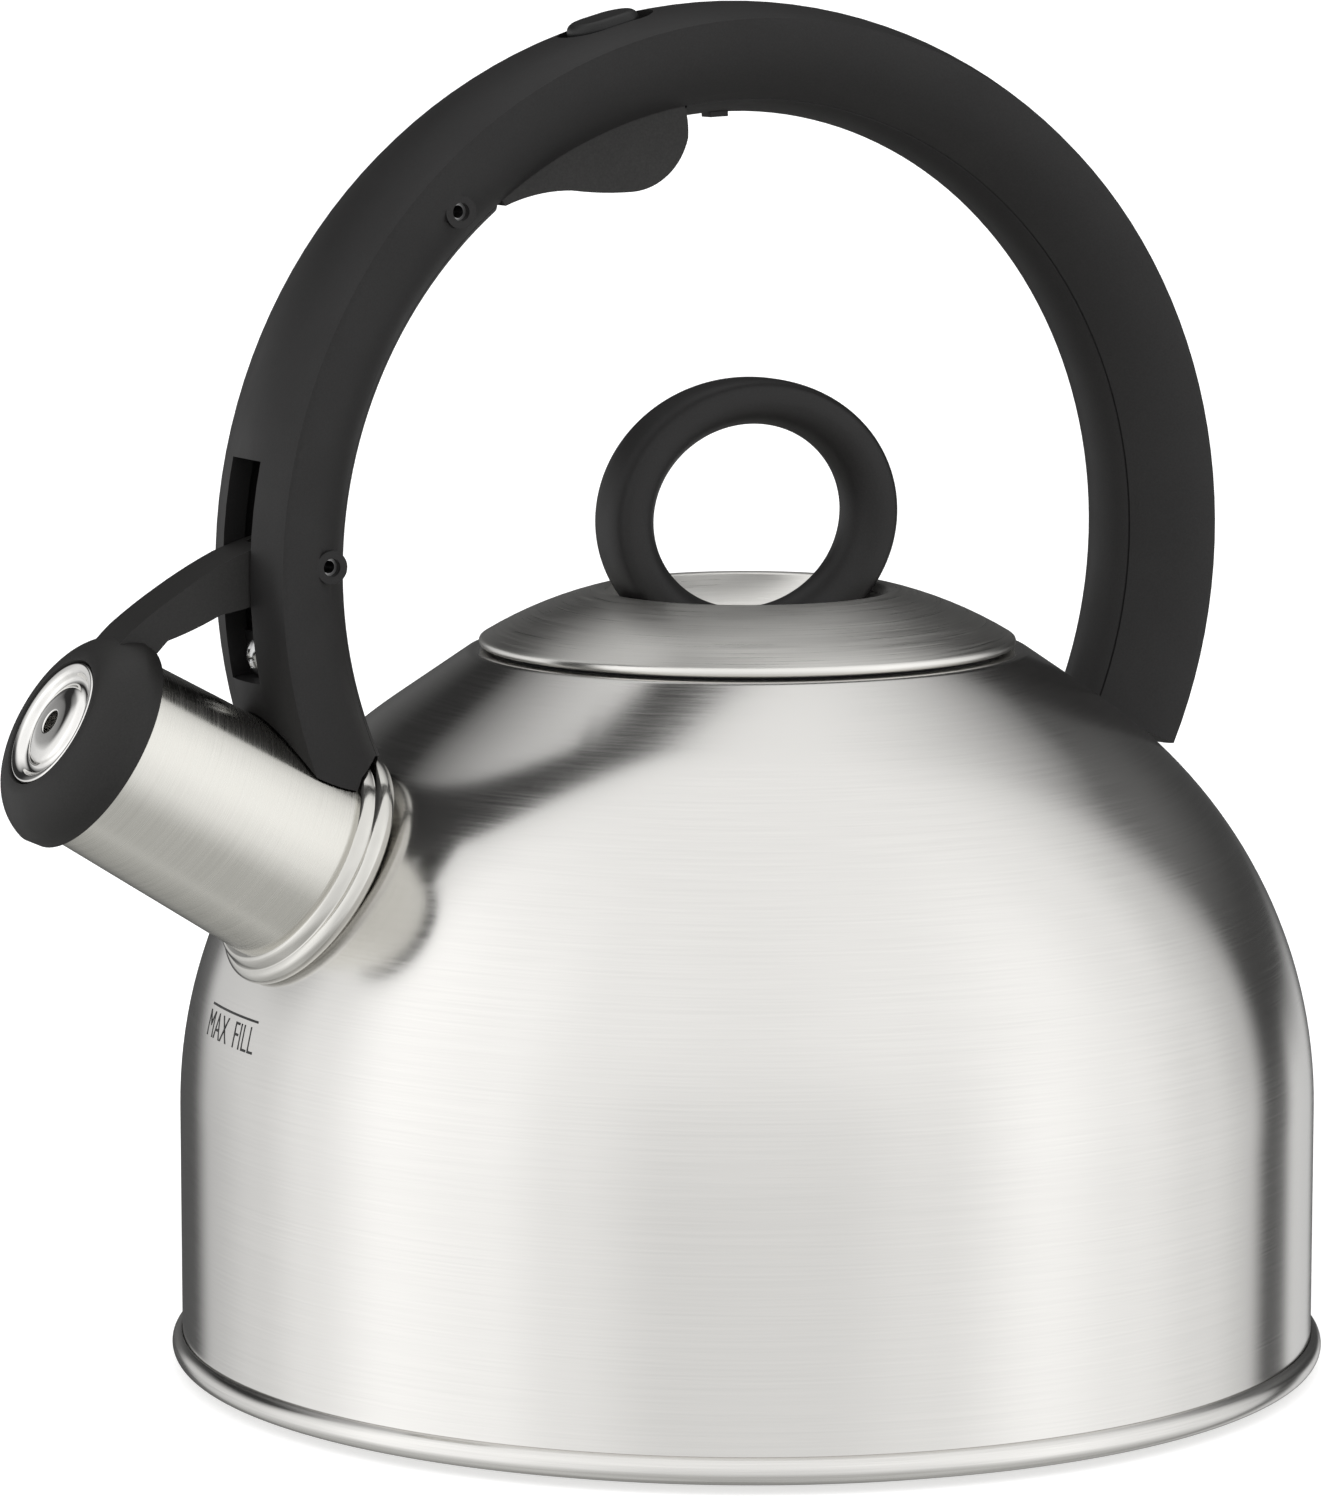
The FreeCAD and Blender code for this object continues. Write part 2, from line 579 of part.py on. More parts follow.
trigger_spring = wire_coil("trigger_spring", trigger_x, trigger_z, 4.6, 3, 2.4, 0.35)


# ---------------------------------------------------------------- spout cap and whistle
cap_cup = on_spout(turned("cap_cup", [
    ("Sizes.cap_bore", "Sizes.cap_skirt"), ("Sizes.cap_radius - 0.3", "Sizes.cap_skirt"),
    ("Sizes.cap_radius", "Sizes.cap_skirt + 2.6", ("9.2", OUT)),
    ("Sizes.whistle_radius + 1.6", "Sizes.cap_face"),
    ("Sizes.whistle_radius + 0.4", "Sizes.cap_face"),
    ("Sizes.whistle_radius + 0.1", "Sizes.cap_face - 0.9"),
    ("Sizes.whistle_radius + 0.1", "Sizes.cap_face - 3.4"),
    ("Sizes.whistle_radius - 1.5", "Sizes.cap_face - 3.4"),
    ("Sizes.whistle_radius - 1.5", "Sizes.tube_mouth + 1.2"),
    ("Sizes.cap_bore", "Sizes.tube_mouth + 1.2")]))
cap_arm = padded("cap_arm", [
    (-121.6, 127.9), (-118.5, 127.2), (-115.3, 128.6), (-112.3, 129.2),
    (-110.3, 131.2, ("60", OUT)), (-100.8, 134.9, ("60", OUT)), (-88.0, 138.2),
    (-82.6, 139.0), (-81.7, 144.9), (-88.0, 147.3, ("90", OUT)), (-98.0, 144.3, ("90", OUT)),
    (-108.0, 139.0, ("90", OUT)), (-116.2, 133.5, ("40", OUT))], "Sizes.arm_half")
cap_hub = cross_bar("cap_hub", "Sizes.cap_x", "Sizes.cap_z", "Sizes.hub_radius", "Sizes.arm_half")
cap_tail = place(padded("cap_tail", [
    ("0", "-2.4"), ("Sizes.tail_reach", "-1.8", ("1.85", OUT)), ("Sizes.tail_reach", "1.8"),
    ("0", "2.4")], "Sizes.tail_half"), "Sizes.cap_x", "Sizes.cap_z", "-Sizes.tail_angle")
fork_room = padded("fork_room", [(-93.0, 143.6), (-74.0, 143.6), (-74.0, 158.0), (-93.0, 158.0)],
                   "Sizes.lever_half + 0.4")
hub_core = cross_bar("hub_core", "Sizes.cap_x", "Sizes.cap_z", "Sizes.hub_radius", "3")
fork_gap = cut("fork_gap", fork_room, hub_core)
cap_moulding = fuse("cap_moulding", cap_cup, cap_arm, cap_hub, cap_tail)
cap_hollow = on_spout(turned("cap_hollow", [
    ("0", "Sizes.cap_skirt - 9"), ("Sizes.cap_bore", "Sizes.cap_skirt - 9"),
    ("Sizes.cap_bore", "Sizes.tube_mouth + 1.2"), ("0", "Sizes.tube_mouth + 1.2")]))
cap_bearing = cross_bar("cap_bearing", "Sizes.cap_x", "Sizes.cap_z",
                        "Sizes.pin_radius + Sizes.running", "8")
drive_hole = cross_bar("drive_hole", tail_x, tail_z, "Sizes.drive_pin", "8")
spout_cap = cut("spout_cap", cap_moulding, cap_hollow, fork_gap, cap_bearing, drive_hole)
cap_drive_pin = cross_bar("cap_drive_pin", tail_x, tail_z, "Sizes.drive_pin", "Sizes.tail_half")
cap_spring = wire_coil("cap_spring", cap_x, cap_z, 5.25, 2, 2.1, 0.3)

whistle_plate = on_spout(turned("whistle_face_plate", [
    ("Sizes.whistle_hole", "41.3"), ("4.6", "41.6"), ("6.3", "41.2"), ("7.0", "40.3"),
    ("8.9", "40.3"), ("9.5", "41.2"), ("10.2", "41.3"), ("10.2", "39.25"),
    ("Sizes.whistle_radius", "39.25"), ("Sizes.whistle_radius", "42.2"), ("10.6", "42.5"),
    ("9.4", "42.2"), ("8.6", "41.0"), ("7.3", "41.0"), ("6.7", "41.9"),
    ("4.6", "42.6", ("14", OUT)), ("Sizes.whistle_hole", "42.7")]))
whistle_back = on_spout(turned("whistle_back_plate", [
    ("Sizes.whistle_hole", "36.2"), ("Sizes.whistle_radius - 1.55", "36.2"),
    ("Sizes.whistle_radius - 1.55", "36.9"), ("Sizes.whistle_hole", "36.9")]))
whistle_spacer = on_spout(turned("whistle_spacer", [
    ("Sizes.whistle_radius - 2.6", "36.9"), ("Sizes.whistle_radius - 1.55", "36.9"),
    ("Sizes.whistle_radius - 1.55", "39.2"), ("Sizes.whistle_radius - 2.6", "39.2")]))
cap_seal = on_spout(turned("spout_seal", [
    ("12.6", "Sizes.tube_mouth + 0.35"), ("Sizes.cap_bore - 0.05", "Sizes.tube_mouth + 0.35"),
    ("Sizes.cap_bore - 0.05", "Sizes.tube_mouth + 1.2"), ("12.6", "Sizes.tube_mouth + 1.2")]))


# ---------------------------------------------------------------- thumb lock
lock_pad = lock_slot("lock_pad", "Sizes.channel_outer - 0.7", "Sizes.arch_crown + 1.0",
                     "Sizes.lock_length", "Sizes.lock_half", "0")
lock_button = doc.addObject("Part::Fillet", "lock_button")
lock_button.Base = lock_pad
lock_button.Label = "lock_button"
doc.recompute()
top_edges = [i + 1 for i, e in enumerate(lock_pad.Shape.Edges)
             if all(abs((v.Point - Vector(arch_x, 0, arch_z)).dot(
                 Vector(math.cos(math.radians(lock_angle)), 0, math.sin(math.radians(lock_angle))))
                 - (arch_crown + 1.0)) < 0.01 for v in e.Vertexes)]
lock_button.Edges = [(i, 1.5, 1.5) for i in top_edges]
lock_latch = on_arch(padded("lock_latch", [
    ("-11.0", "Sizes.channel_outer - 2.8"), ("11.0", "Sizes.channel_outer - 2.8"),
    ("11.0", "Sizes.channel_outer - 1.7"), ("6.0", "Sizes.channel_outer - 0.7"),
    ("-6.0", "Sizes.channel_outer - 0.7"), ("-11.0", "Sizes.channel_outer - 1.7")],
    "Sizes.channel_half - 0.5"), "Sizes.lock_angle")


# ---------------------------------------------------------------- lid
lid_shell = turned("lid_shell", [
    ("0", "Sizes.dish_z - Sizes.lid_wall"), ("Sizes.dish_radius", "Sizes.dish_z - Sizes.lid_wall"),
    ("Sizes.lid_rim_radius - 0.6", "Sizes.lid_rim_top - 1.2"),
    ("Sizes.lid_rim_radius + 0.2", "Sizes.lid_rim_top - 1.0", ("70", IN)),
    ("Sizes.lid_radius - 1.6", "Sizes.lid_edge - 0.5"),
    ("Sizes.lid_radius - 1.6", "Sizes.lid_edge - 1.5"),
    ("Sizes.lid_radius - 0.3", "Sizes.lid_edge - 1.5", ("0.9", OUT)),
    ("Sizes.lid_radius", "Sizes.lid_edge", ("70", OUT)),
    ("Sizes.lid_rim_radius + 0.4", "Sizes.lid_rim_top - 0.1", ("0.8", OUT)),
    ("Sizes.lid_rim_radius - 1.0", "Sizes.lid_rim_top - 0.3"),
    ("Sizes.dish_radius", "Sizes.dish_z"), ("0", "Sizes.dish_z")])
lid_plug = turned("lid_plug", [
    ("Sizes.plug_radius - Sizes.wall", "Sizes.plug_bottom"),
    ("Sizes.plug_radius", "Sizes.plug_bottom"),
    ("Sizes.plug_radius", "Sizes.neck_top + 0.55"),
    ("Sizes.lid_radius - 2.1", "Sizes.neck_top + 0.55"),
    ("Sizes.lid_radius - 2.1", "Sizes.neck_top + 1.3"),
    ("Sizes.plug_radius - Sizes.wall", "Sizes.neck_top + 1.3")])
lid_seal = turned("lid_seal", [
    ("Sizes.plug_radius", "Sizes.neck_top + 0.05"),
    ("Sizes.lid_radius - 2.2", "Sizes.neck_top + 0.05"),
    ("Sizes.lid_radius - 2.2", "Sizes.neck_top + 0.55"),
    ("Sizes.plug_radius", "Sizes.neck_top + 0.55")])


def oval(long_half, high_half, half):
    """An upright oval plate in the handle's plane, centred at the knob."""
    centre = Vector(0, half, knob_z)
    ellipse = Part.Ellipse(centre + Vector(long_half, 0, 0), centre + Vector(0, 0, high_half), centre)
    face = Part.Face(Part.Wire([ellipse.toShape()]))
    return face.extrude(Vector(0, -2 * half, 0))


knob_ring = oval(knob_long, knob_high, knob_half)
outer_edges = [e for e in knob_ring.Edges if len(e.Vertexes) == 1]
knob_ring = knob_ring.makeFillet(0.9, outer_edges)
knob_hole = oval(knob_hole_long, knob_hole_high, 20.0)
floor_block = Part.makeBox(60, 40, 30, Vector(-30, -20, knob_floor - 30))
knob_hole = knob_hole.cut(floor_block)
knob_solid = knob_ring.cut(knob_hole).cut(Part.makeBox(80, 40, 40, Vector(-40, -20, dish_z - 40)))
knob_solid = knob_solid.cut(Part.makeCylinder(1.6, knob_floor - 0.4 - dish_z + 5, Vector(0, 0, dish_z - 5)))
lid_knob = doc.addObject("Part::Feature", "lid_knob")
lid_knob.Label = "lid_knob"
lid_knob.Shape = knob_solid
knob_screw_hole = doc.addObject("Part::Cylinder", "knob_screw_hole")
knob_screw_hole.Radius = 1.6
knob_screw_hole.Height = 10
knob_screw_hole.Placement = Placement(Vector(0, 0, dish_z - 5), Rotation())
lid_shell_drilled = cut("lid_skin", lid_shell, knob_screw_hole)
knob_screw = turned("knob_screw", [
    ("0", "Sizes.dish_z - 3.2"), ("2.6", "Sizes.dish_z - 3.2"),
    ("3.4", "Sizes.dish_z - 2.2"), ("3.4", "Sizes.dish_z - 1.6"), ("1.6", "Sizes.dish_z - 1.6"),
    ("1.6", "Sizes.knob_floor - 0.4"), ("0", "Sizes.knob_floor - 0.4")])
knob_washer = turned("knob_washer", [
    ("1.65", "Sizes.dish_z - 1.6"), ("5.0", "Sizes.dish_z - 1.6"),
    ("5.0", "Sizes.dish_z - 0.8"), ("1.65", "Sizes.dish_z - 0.8")])

doc.recompute()

# ---------------------------------------------------------------- hand out the pieces
pieces = {
    "kettle_body": kettle_body, "base_pan": base_pan, "heat_spreader": heat_spreader,
    "pot_floor": pot_floor, "spout_tube": spout_tube, "spout_collar": spout_collar,
    "handle_shell": handle_shell, "handle_rear_cover": rear_cover,
    "handle_front_cover": front_cover, "rear_bracket": rear_bracket,
    "front_bracket": front_bracket, "front_handle_screw": front_screw,
    "rear_handle_screw": rear_screw, "trigger_pin": trigger_pin, "cap_pin": cap_pin,
    "trigger": trigger, "trigger_spring": trigger_spring, "spout_cap": spout_cap,
    "cap_drive_pin": cap_drive_pin, "cap_spring": cap_spring,
    "whistle_face_plate": whistle_plate, "whistle_back_plate": whistle_back,
    "whistle_spacer": whistle_spacer, "spout_seal": cap_seal, "lock_button": lock_button,
    "lock_latch": lock_latch, "lid_shell": lid_shell_drilled, "lid_plug": lid_plug,
    "lid_seal": lid_seal, "lid_knob": lid_knob, "knob_screw": knob_screw,
    "knob_washer": knob_washer,
}

for obj in doc.Objects:
    faults = [word for word in obj.State if word in ("Invalid", "Error")]
    if faults:
        raise RuntimeError("%s is %s" % (obj.Label, faults))

os.makedirs("parts", exist_ok=True)
for node, obj in pieces.items():
    shape = obj.Shape
    if shape.isNull() or not shape.isValid() or not shape.Solids:
        raise RuntimeError("%s has no sound solid" % node)
    print("%-20s solids %d  volume %9.1f mm3" % (node, len(shape.Solids), shape.Volume))
    shape.exportStep("parts/%s.step" % node)
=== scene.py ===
"""Looks of a stovetop whistling kettle: brushed steel vessel, black moulded grip and levers."""

import json
import logging
import math
from dataclasses import dataclass, field
from enum import Enum

import bmesh
import bpy
import numpy as np
from mathutils import Euler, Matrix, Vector

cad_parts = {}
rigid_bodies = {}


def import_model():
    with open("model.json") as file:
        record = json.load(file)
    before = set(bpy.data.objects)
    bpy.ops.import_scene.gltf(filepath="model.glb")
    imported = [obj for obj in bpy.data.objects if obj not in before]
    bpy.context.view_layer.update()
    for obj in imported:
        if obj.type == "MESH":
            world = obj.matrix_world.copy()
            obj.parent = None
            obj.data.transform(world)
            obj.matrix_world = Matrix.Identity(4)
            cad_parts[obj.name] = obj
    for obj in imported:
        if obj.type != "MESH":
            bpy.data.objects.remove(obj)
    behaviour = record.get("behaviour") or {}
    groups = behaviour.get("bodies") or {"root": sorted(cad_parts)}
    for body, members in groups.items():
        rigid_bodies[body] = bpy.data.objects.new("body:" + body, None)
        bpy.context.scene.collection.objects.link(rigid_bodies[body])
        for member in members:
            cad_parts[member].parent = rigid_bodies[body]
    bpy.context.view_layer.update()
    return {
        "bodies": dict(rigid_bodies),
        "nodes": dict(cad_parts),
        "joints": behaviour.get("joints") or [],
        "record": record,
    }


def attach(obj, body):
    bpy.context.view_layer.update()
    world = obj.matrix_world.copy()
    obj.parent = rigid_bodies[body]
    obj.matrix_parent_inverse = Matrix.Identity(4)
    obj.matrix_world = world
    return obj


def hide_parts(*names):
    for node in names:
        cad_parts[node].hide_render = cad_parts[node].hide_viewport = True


log = logging.getLogger("kettle")
MM = 0.001


class Part(str, Enum):
    """The moving bodies of the kettle."""

    KETTLE = "kettle"
    TRIGGER = "trigger_lever"
    CAP = "cap_lever"
    LOCK = "lock"
    LID = "lid"


class Side(Enum):
    """Which side of a chord an arc bulges to, walking from its start to its end."""

    LEFT = 1.0
    RIGHT = -1.0


# ------------------------------------------------------------------ outlines
@dataclass
class Outline:
    """A flat path of straight runs, arcs and softened corners, in millimetres.

    Attributes:
        spots: points of the path so far.
        soft: length along the path and reach of every softened corner.
    """

    spots: list[np.ndarray] = field(default_factory=list)
    soft: list[tuple[float, float]] = field(default_factory=list)

    def length(self) -> float:
        """The length of the path so far."""
        steps = np.diff(np.array(self.spots), axis=0)
        return float(np.hypot(steps[:, 0], steps[:, 1]).sum()) if len(self.spots) > 1 else 0.0

    def mark(self, reach: float) -> None:
        """Soften the last corner over this reach each side."""
        if reach > 0.0:
            self.soft.append((self.length(), reach))

    def to(self, across: float, up: float, soft: float = 0.0) -> "Outline":
        """Run straight to a point.

        Args:
            across: first coordinate of the point.
            up: second coordinate of the point.
            soft: reach over which the corner there is rounded.
        """
        self.spots.append(np.array([across, up], float))
        self.mark(soft)
        return self

    def arc(self, across: float, up: float, radius: float, side: Side = Side.RIGHT,
            soft: float = 0.0) -> "Outline":
        """Follow an arc of this radius to a point, bulging to one side of its chord."""
        start, end = self.spots[-1], np.array([across, up], float)
        chord = end - start
        half = np.hypot(*chord) / 2
        radius = max(radius, half * 1.0001)
        left = np.array([-chord[1], chord[0]]) / (2 * half)
        centre = (start + end) / 2 - left * side.value * math.sqrt(radius ** 2 - half ** 2)
        first = math.atan2(*(start - centre)[::-1])
        sweep = 2 * math.asin(half / radius) * -side.value
        count = max(6, int(abs(sweep) / 0.07), int(abs(sweep) * radius / 2.5))
        turn = first + sweep * np.linspace(0, 1, count + 1)[1:]
        self.spots.extend(centre + radius * np.stack([np.cos(turn), np.sin(turn)], 1))
        self.mark(soft)
        return self

    def points(self, closed: bool = False) -> np.ndarray:
        """The path with its soft corners rounded, as rows of two numbers.

        Args:
            closed: repeat the first point at the end, so that the path is a loop.
        """
        spots = np.array(self.spots)
        if closed:
            spots = np.vstack([spots, spots[:1]])
        along = np.r_[0, np.cumsum(np.hypot(*np.diff(spots, axis=0).T))]

        def at(where: np.ndarray) -> np.ndarray:
            where = np.mod(where, along[-1]) if closed else where
            return np.stack([np.interp(where, along, spots[:, k]) for k in (0, 1)], -1)

        keep = np.ones(len(spots), bool)
        rounds = []
        for where, reach in self.soft:
            distance = np.abs(along - where)
            if closed:
                distance = np.minimum(distance, along[-1] - distance)
            keep &= distance > reach * 1.001
            t = np.linspace(0, 1, 9)[:, None]
            before, corner, after = at(np.array([where - reach, where, where + reach]))
            bend = before * (1 - t) ** 2 + corner * 2 * t * (1 - t) + after * t ** 2
            place = np.linspace(where - reach, where + reach, 9)
            rounds.append((np.mod(place, along[-1]) if closed else place, bend))
        places = np.concatenate([along[keep]] + [place for place, _ in rounds])
        path = np.concatenate([spots[keep]] + [bend for _, bend in rounds])
        path = path[np.argsort(places, kind="stable")]
        if closed and np.hypot(*(path[0] - path[-1])) > 1e-9:
            path = np.vstack([path, path[:1]])
        return path


@dataclass(frozen=True)
class Axis:
    """A line to turn about: its origin, direction and a direction across it, in millimetres."""

    origin: tuple[float, float, float] = (0.0, 0.0, 0.0)
    along: tuple[float, float, float] = (0.0, 0.0, 1.0)
    across: tuple[float, float, float] = (0.0, 1.0, 0.0)

    def place(self, radius: np.ndarray, height: np.ndarray, turn: np.ndarray) -> np.ndarray:
        """Points at these radii and heights, turned about the line: origin + height times
        the line + radius times (cosine across + sine sideways)."""
        line, across = np.array(self.along), np.array(self.across)
        side = np.cross(line, across)
        radius, height = radius[..., None], height[..., None]
        spin = np.cos(turn)[..., None] * across + np.sin(turn)[..., None] * side
        return np.array(self.origin) + height * line + radius * spin


UPRIGHT = Axis()
RISE = math.radians(30.6)
SPOUT = Axis((-92.4, 0.0, 97.0), (-math.cos(RISE), 0.0, math.sin(RISE)),
             (math.sin(RISE), 0.0, math.cos(RISE)))


# ------------------------------------------------------------------ meshes
def new_object(name: str, mesh: bpy.types.Mesh) -> bpy.types.Object:
    """Link a mesh into the scene as an object of that name at the origin."""
    thing = bpy.data.objects.new(name, mesh)
    bpy.context.scene.collection.objects.link(thing)
    return thing


def weld(mesh: bpy.types.Mesh, reach: float = 1e-7) -> None:
    """Merge doubled points, so that seams and poles are closed, and turn faces outwards."""
    work = bmesh.new()
    work.from_mesh(mesh)
    bmesh.ops.remove_doubles(work, verts=work.verts, dist=reach)
    bmesh.ops.recalc_face_normals(work, faces=work.faces)
    work.to_mesh(mesh)
    work.free()


def shade(mesh: bpy.types.Mesh, degrees: float) -> None:
    """Smooth every face and keep edges sharper than this angle crisp."""
    mesh.polygons.foreach_set("use_smooth", np.ones(len(mesh.polygons), bool))
    mesh.set_sharp_from_angle(angle=math.radians(degrees))


def grid(name: str, points: np.ndarray, sharp: float = 35.0) -> bpy.types.Object:
    """A surface through a grid of points in millimetres.

    Every face joins grid points (i, j), (i+1, j), (i+1, j+1) and (i, j+1). The UV map holds
    the distance in metres along rows (first) and along columns (second).

    Args:
        name: name of the new object.
        points: array of rows x columns x 3.
        sharp: edges that turn by more degrees than this stay crisp.
    """
    rows, cols = points.shape[:2]
    index = np.arange(rows * cols).reshape(rows, cols)
    quads = np.stack([index[:-1, :-1], index[1:, :-1], index[1:, 1:], index[:-1, 1:]], -1)
    quads = quads.reshape(-1, 4)
    mesh = bpy.data.meshes.new(name)
    mesh.from_pydata((points.reshape(-1, 3) * MM).tolist(), [], quads.tolist())
    down = np.linalg.norm(np.diff(points, axis=0), axis=2).max(1)
    right = np.linalg.norm(np.diff(points, axis=1), axis=2).max(0)
    u = np.r_[0, np.cumsum(down)] * MM
    v = np.r_[0, np.cumsum(right)] * MM
    u, v = np.broadcast_to(u[:, None], (rows, cols)), np.broadcast_to(v[None], (rows, cols))
    flat = np.stack([u.reshape(-1)[quads], v.reshape(-1)[quads]], -1)
    mesh.uv_layers.new(name="Run").data.foreach_set("uv", flat.reshape(-1).astype(np.float32))
    weld(mesh)
    shade(mesh, sharp)
    return new_object(name, mesh)


def turned(name: str, outline: Outline, axis: Axis = UPRIGHT, closed: bool = True,
           count: int = 192, sharp: float = 35.0) -> bpy.types.Object:
    """A surface of revolution: every outline point (radius, height) carried round an axis."""
    path = outline.points(closed)
    turn = np.linspace(0, 2 * math.pi, count + 1)
    radius, spin = np.meshgrid(path[:, 0], turn, indexing="ij")
    height = np.meshgrid(path[:, 1], turn, indexing="ij")[0]
    return grid(name, axis.place(radius, height, spin), sharp)


def carve(thing: bpy.types.Object, *tools: bpy.types.Object, join: bool = False,
          sharp: float = 35.0) -> bpy.types.Object:
    """Cut closed tools out of a closed piece, or join them to it, and remove the tools.

    Args:
        thing: the piece that is worked on.
        tools: closed solids.
        join: add the tools instead of cutting them away.
        sharp: edges that turn by more degrees than this stay crisp.
    """
    for tool in tools:
        step = thing.modifiers.new("carve", "BOOLEAN")
        step.operation = "UNION" if join else "DIFFERENCE"
        step.solver = "EXACT"
        step.object = tool
    bpy.context.view_layer.update()
    graph = bpy.context.evaluated_depsgraph_get()
    result = bpy.data.meshes.new_from_object(thing.evaluated_get(graph))
    thing.modifiers.clear()
    old, thing.data = thing.data, result
    bpy.data.meshes.remove(old)
    for tool in tools:
        bpy.data.meshes.remove(tool.data)
    shade(thing.data, sharp)
    return thing


def merged(frame: dict, node: str, sharp: float = 32.0, soften: float = 0.0) -> bpy.types.Object:
    """A welded, smoothly shaded copy of a CAD node.

    Args:
        node: name of the CAD node.
        sharp: edges that turn by more degrees than this stay crisp.
        soften: width in millimetres of the round along crisp edges.
    """
    mesh = frame["nodes"][node].data.copy()
    mesh.materials.clear()
    mesh.name = node + "_skin"
    weld(mesh, 2e-6)
    work = bmesh.new()
    work.from_mesh(mesh)
    bmesh.ops.dissolve_limit(work, angle_limit=math.radians(0.4), verts=work.verts,
                             edges=work.edges)
    work.to_mesh(mesh)
    work.free()
    shade(mesh, sharp)
    thing = new_object(node + "_skin", mesh)
    if soften > 0.0:
        step = thing.modifiers.new("soften", "BEVEL")
        step.width = soften * MM
        step.segments = 3
        step.limit_method = "ANGLE"
        step.angle_limit = math.radians(sharp)
        step.use_clamp_overlap = True
        step.harden_normals = True
    return thing


# ------------------------------------------------------------------ finishes
class Graph:
    """A small helper that adds and links the shader nodes of one material."""

    def __init__(self, name: str) -> None:
        self.material = bpy.data.materials.new(name)
        self.material.use_nodes = True
        self.tree = self.material.node_tree
        self.skin = self.tree.nodes["Principled BSDF"]

    def add(self, kind: str, inputs: dict | None = None, **settings) -> bpy.types.Node:
        """A new node with these settings; inputs may be values or sockets to link."""
        node = self.tree.nodes.new(kind)
        for key, value in settings.items():
            setattr(node, key, value)
        for key, value in (inputs or {}).items():
            self.feed(node.inputs[key], value)
        return node

    def feed(self, socket: bpy.types.NodeSocket, value) -> None:
        """Set a socket to a value, or link another socket to it."""
        if isinstance(value, bpy.types.NodeSocket):
            self.tree.links.new(value, socket)
        else:
            socket.default_value = value

    def place(self, scale: tuple[float, float, float], from_uv: bool) -> bpy.types.NodeSocket:
        """Surface coordinates stretched by a scale, from the piece's UV map or its own frame."""
        spot = self.add("ShaderNodeTexCoord").outputs["UV" if from_uv else "Object"]
        return self.add("ShaderNodeMapping", {"Vector": spot, "Scale": scale}).outputs["Vector"]

    def noise(self, vector: bpy.types.NodeSocket, scale: float, detail: float = 2.0,
              rough: float = 0.5) -> bpy.types.NodeSocket:
        """A soft noise value between nought and one."""
        return self.add("ShaderNodeTexNoise", {"Vector": vector, "Scale": scale, "Detail": detail,
                                               "Roughness": rough}).outputs["Fac"]

    def span(self, value: bpy.types.NodeSocket, low: float, high: float,
             source: tuple[float, float] = (0.3, 0.7)) -> bpy.types.NodeSocket:
        """A value stretched from one range onto another, held at its ends."""
        return self.add("ShaderNodeMapRange", {"Value": value, "From Min": source[0],
                                               "From Max": source[1], "To Min": low,
                                               "To Max": high}).outputs["Result"]

    def tint(self, value: bpy.types.NodeSocket, dark: tuple, light: tuple) -> None:
        """Colour the skin between two tones by a value from nought to one."""
        mix = self.add("ShaderNodeMix", data_type="RGBA")
        self.feed(mix.inputs["Factor"], value)
        self.feed(mix.inputs["A"], (*dark, 1.0))
        self.feed(mix.inputs["B"], (*light, 1.0))
        self.feed(self.skin.inputs["Base Color"], mix.outputs["Result"])

    def bump(self, value: bpy.types.NodeSocket, strength: float, depth: float) -> None:
        """Raise the skin by a value, depth in metres."""
        node = self.add("ShaderNodeBump", {"Height": value, "Strength": strength,
                                           "Distance": depth})
        self.feed(self.skin.inputs["Normal"], node.outputs["Normal"])


@dataclass(frozen=True)
class BrushedSteel:
    """Stainless steel with fine lines running round the piece.

    Attributes:
        name: name of the material.
        tone: mean colour.
        rough: mean roughness.
        streak: how strongly the lines change the roughness.
        pull: anisotropy; highlights stretch across the lines.
    """

    name: str
    tone: tuple[float, float, float] = (0.66, 0.65, 0.63)
    rough: float = 0.24
    streak: float = 0.07
    pull: float = 0.6
    relief: float = 0.1

    def build(self) -> bpy.types.Material:
        """Make the material; lines are noise stretched along the second UV direction."""
        g = Graph(self.name)
        fine = g.noise(g.place((9000.0, 55.0, 55.0), True), 1.0, 3.0, 0.6)
        broad = g.noise(g.place((2600.0, 22.0, 22.0), True), 1.0, 2.0)
        lines = g.add("ShaderNodeMath", {0: fine, 1: broad}, operation="ADD").outputs[0]
        lines = g.add("ShaderNodeMath", {0: lines, 1: 0.5}, operation="MULTIPLY").outputs[0]
        dark = tuple(c * (1 - self.streak) for c in self.tone)
        light = tuple(min(c * (1 + self.streak), 1.0) for c in self.tone)
        g.tint(g.span(lines, 0.0, 1.0, (0.35, 0.65)), dark, light)
        g.feed(g.skin.inputs["Roughness"],
               g.span(lines, self.rough - self.streak, self.rough + self.streak, (0.35, 0.65)))
        g.bump(lines, self.relief, 0.00004)
        g.skin.inputs["Metallic"].default_value = 1.0
        g.skin.inputs["Anisotropic"].default_value = self.pull
        way = g.add("ShaderNodeTangent", direction_type="UV_MAP", uv_map="Run")
        g.feed(g.skin.inputs["Tangent"], way.outputs["Tangent"])
        return g.material


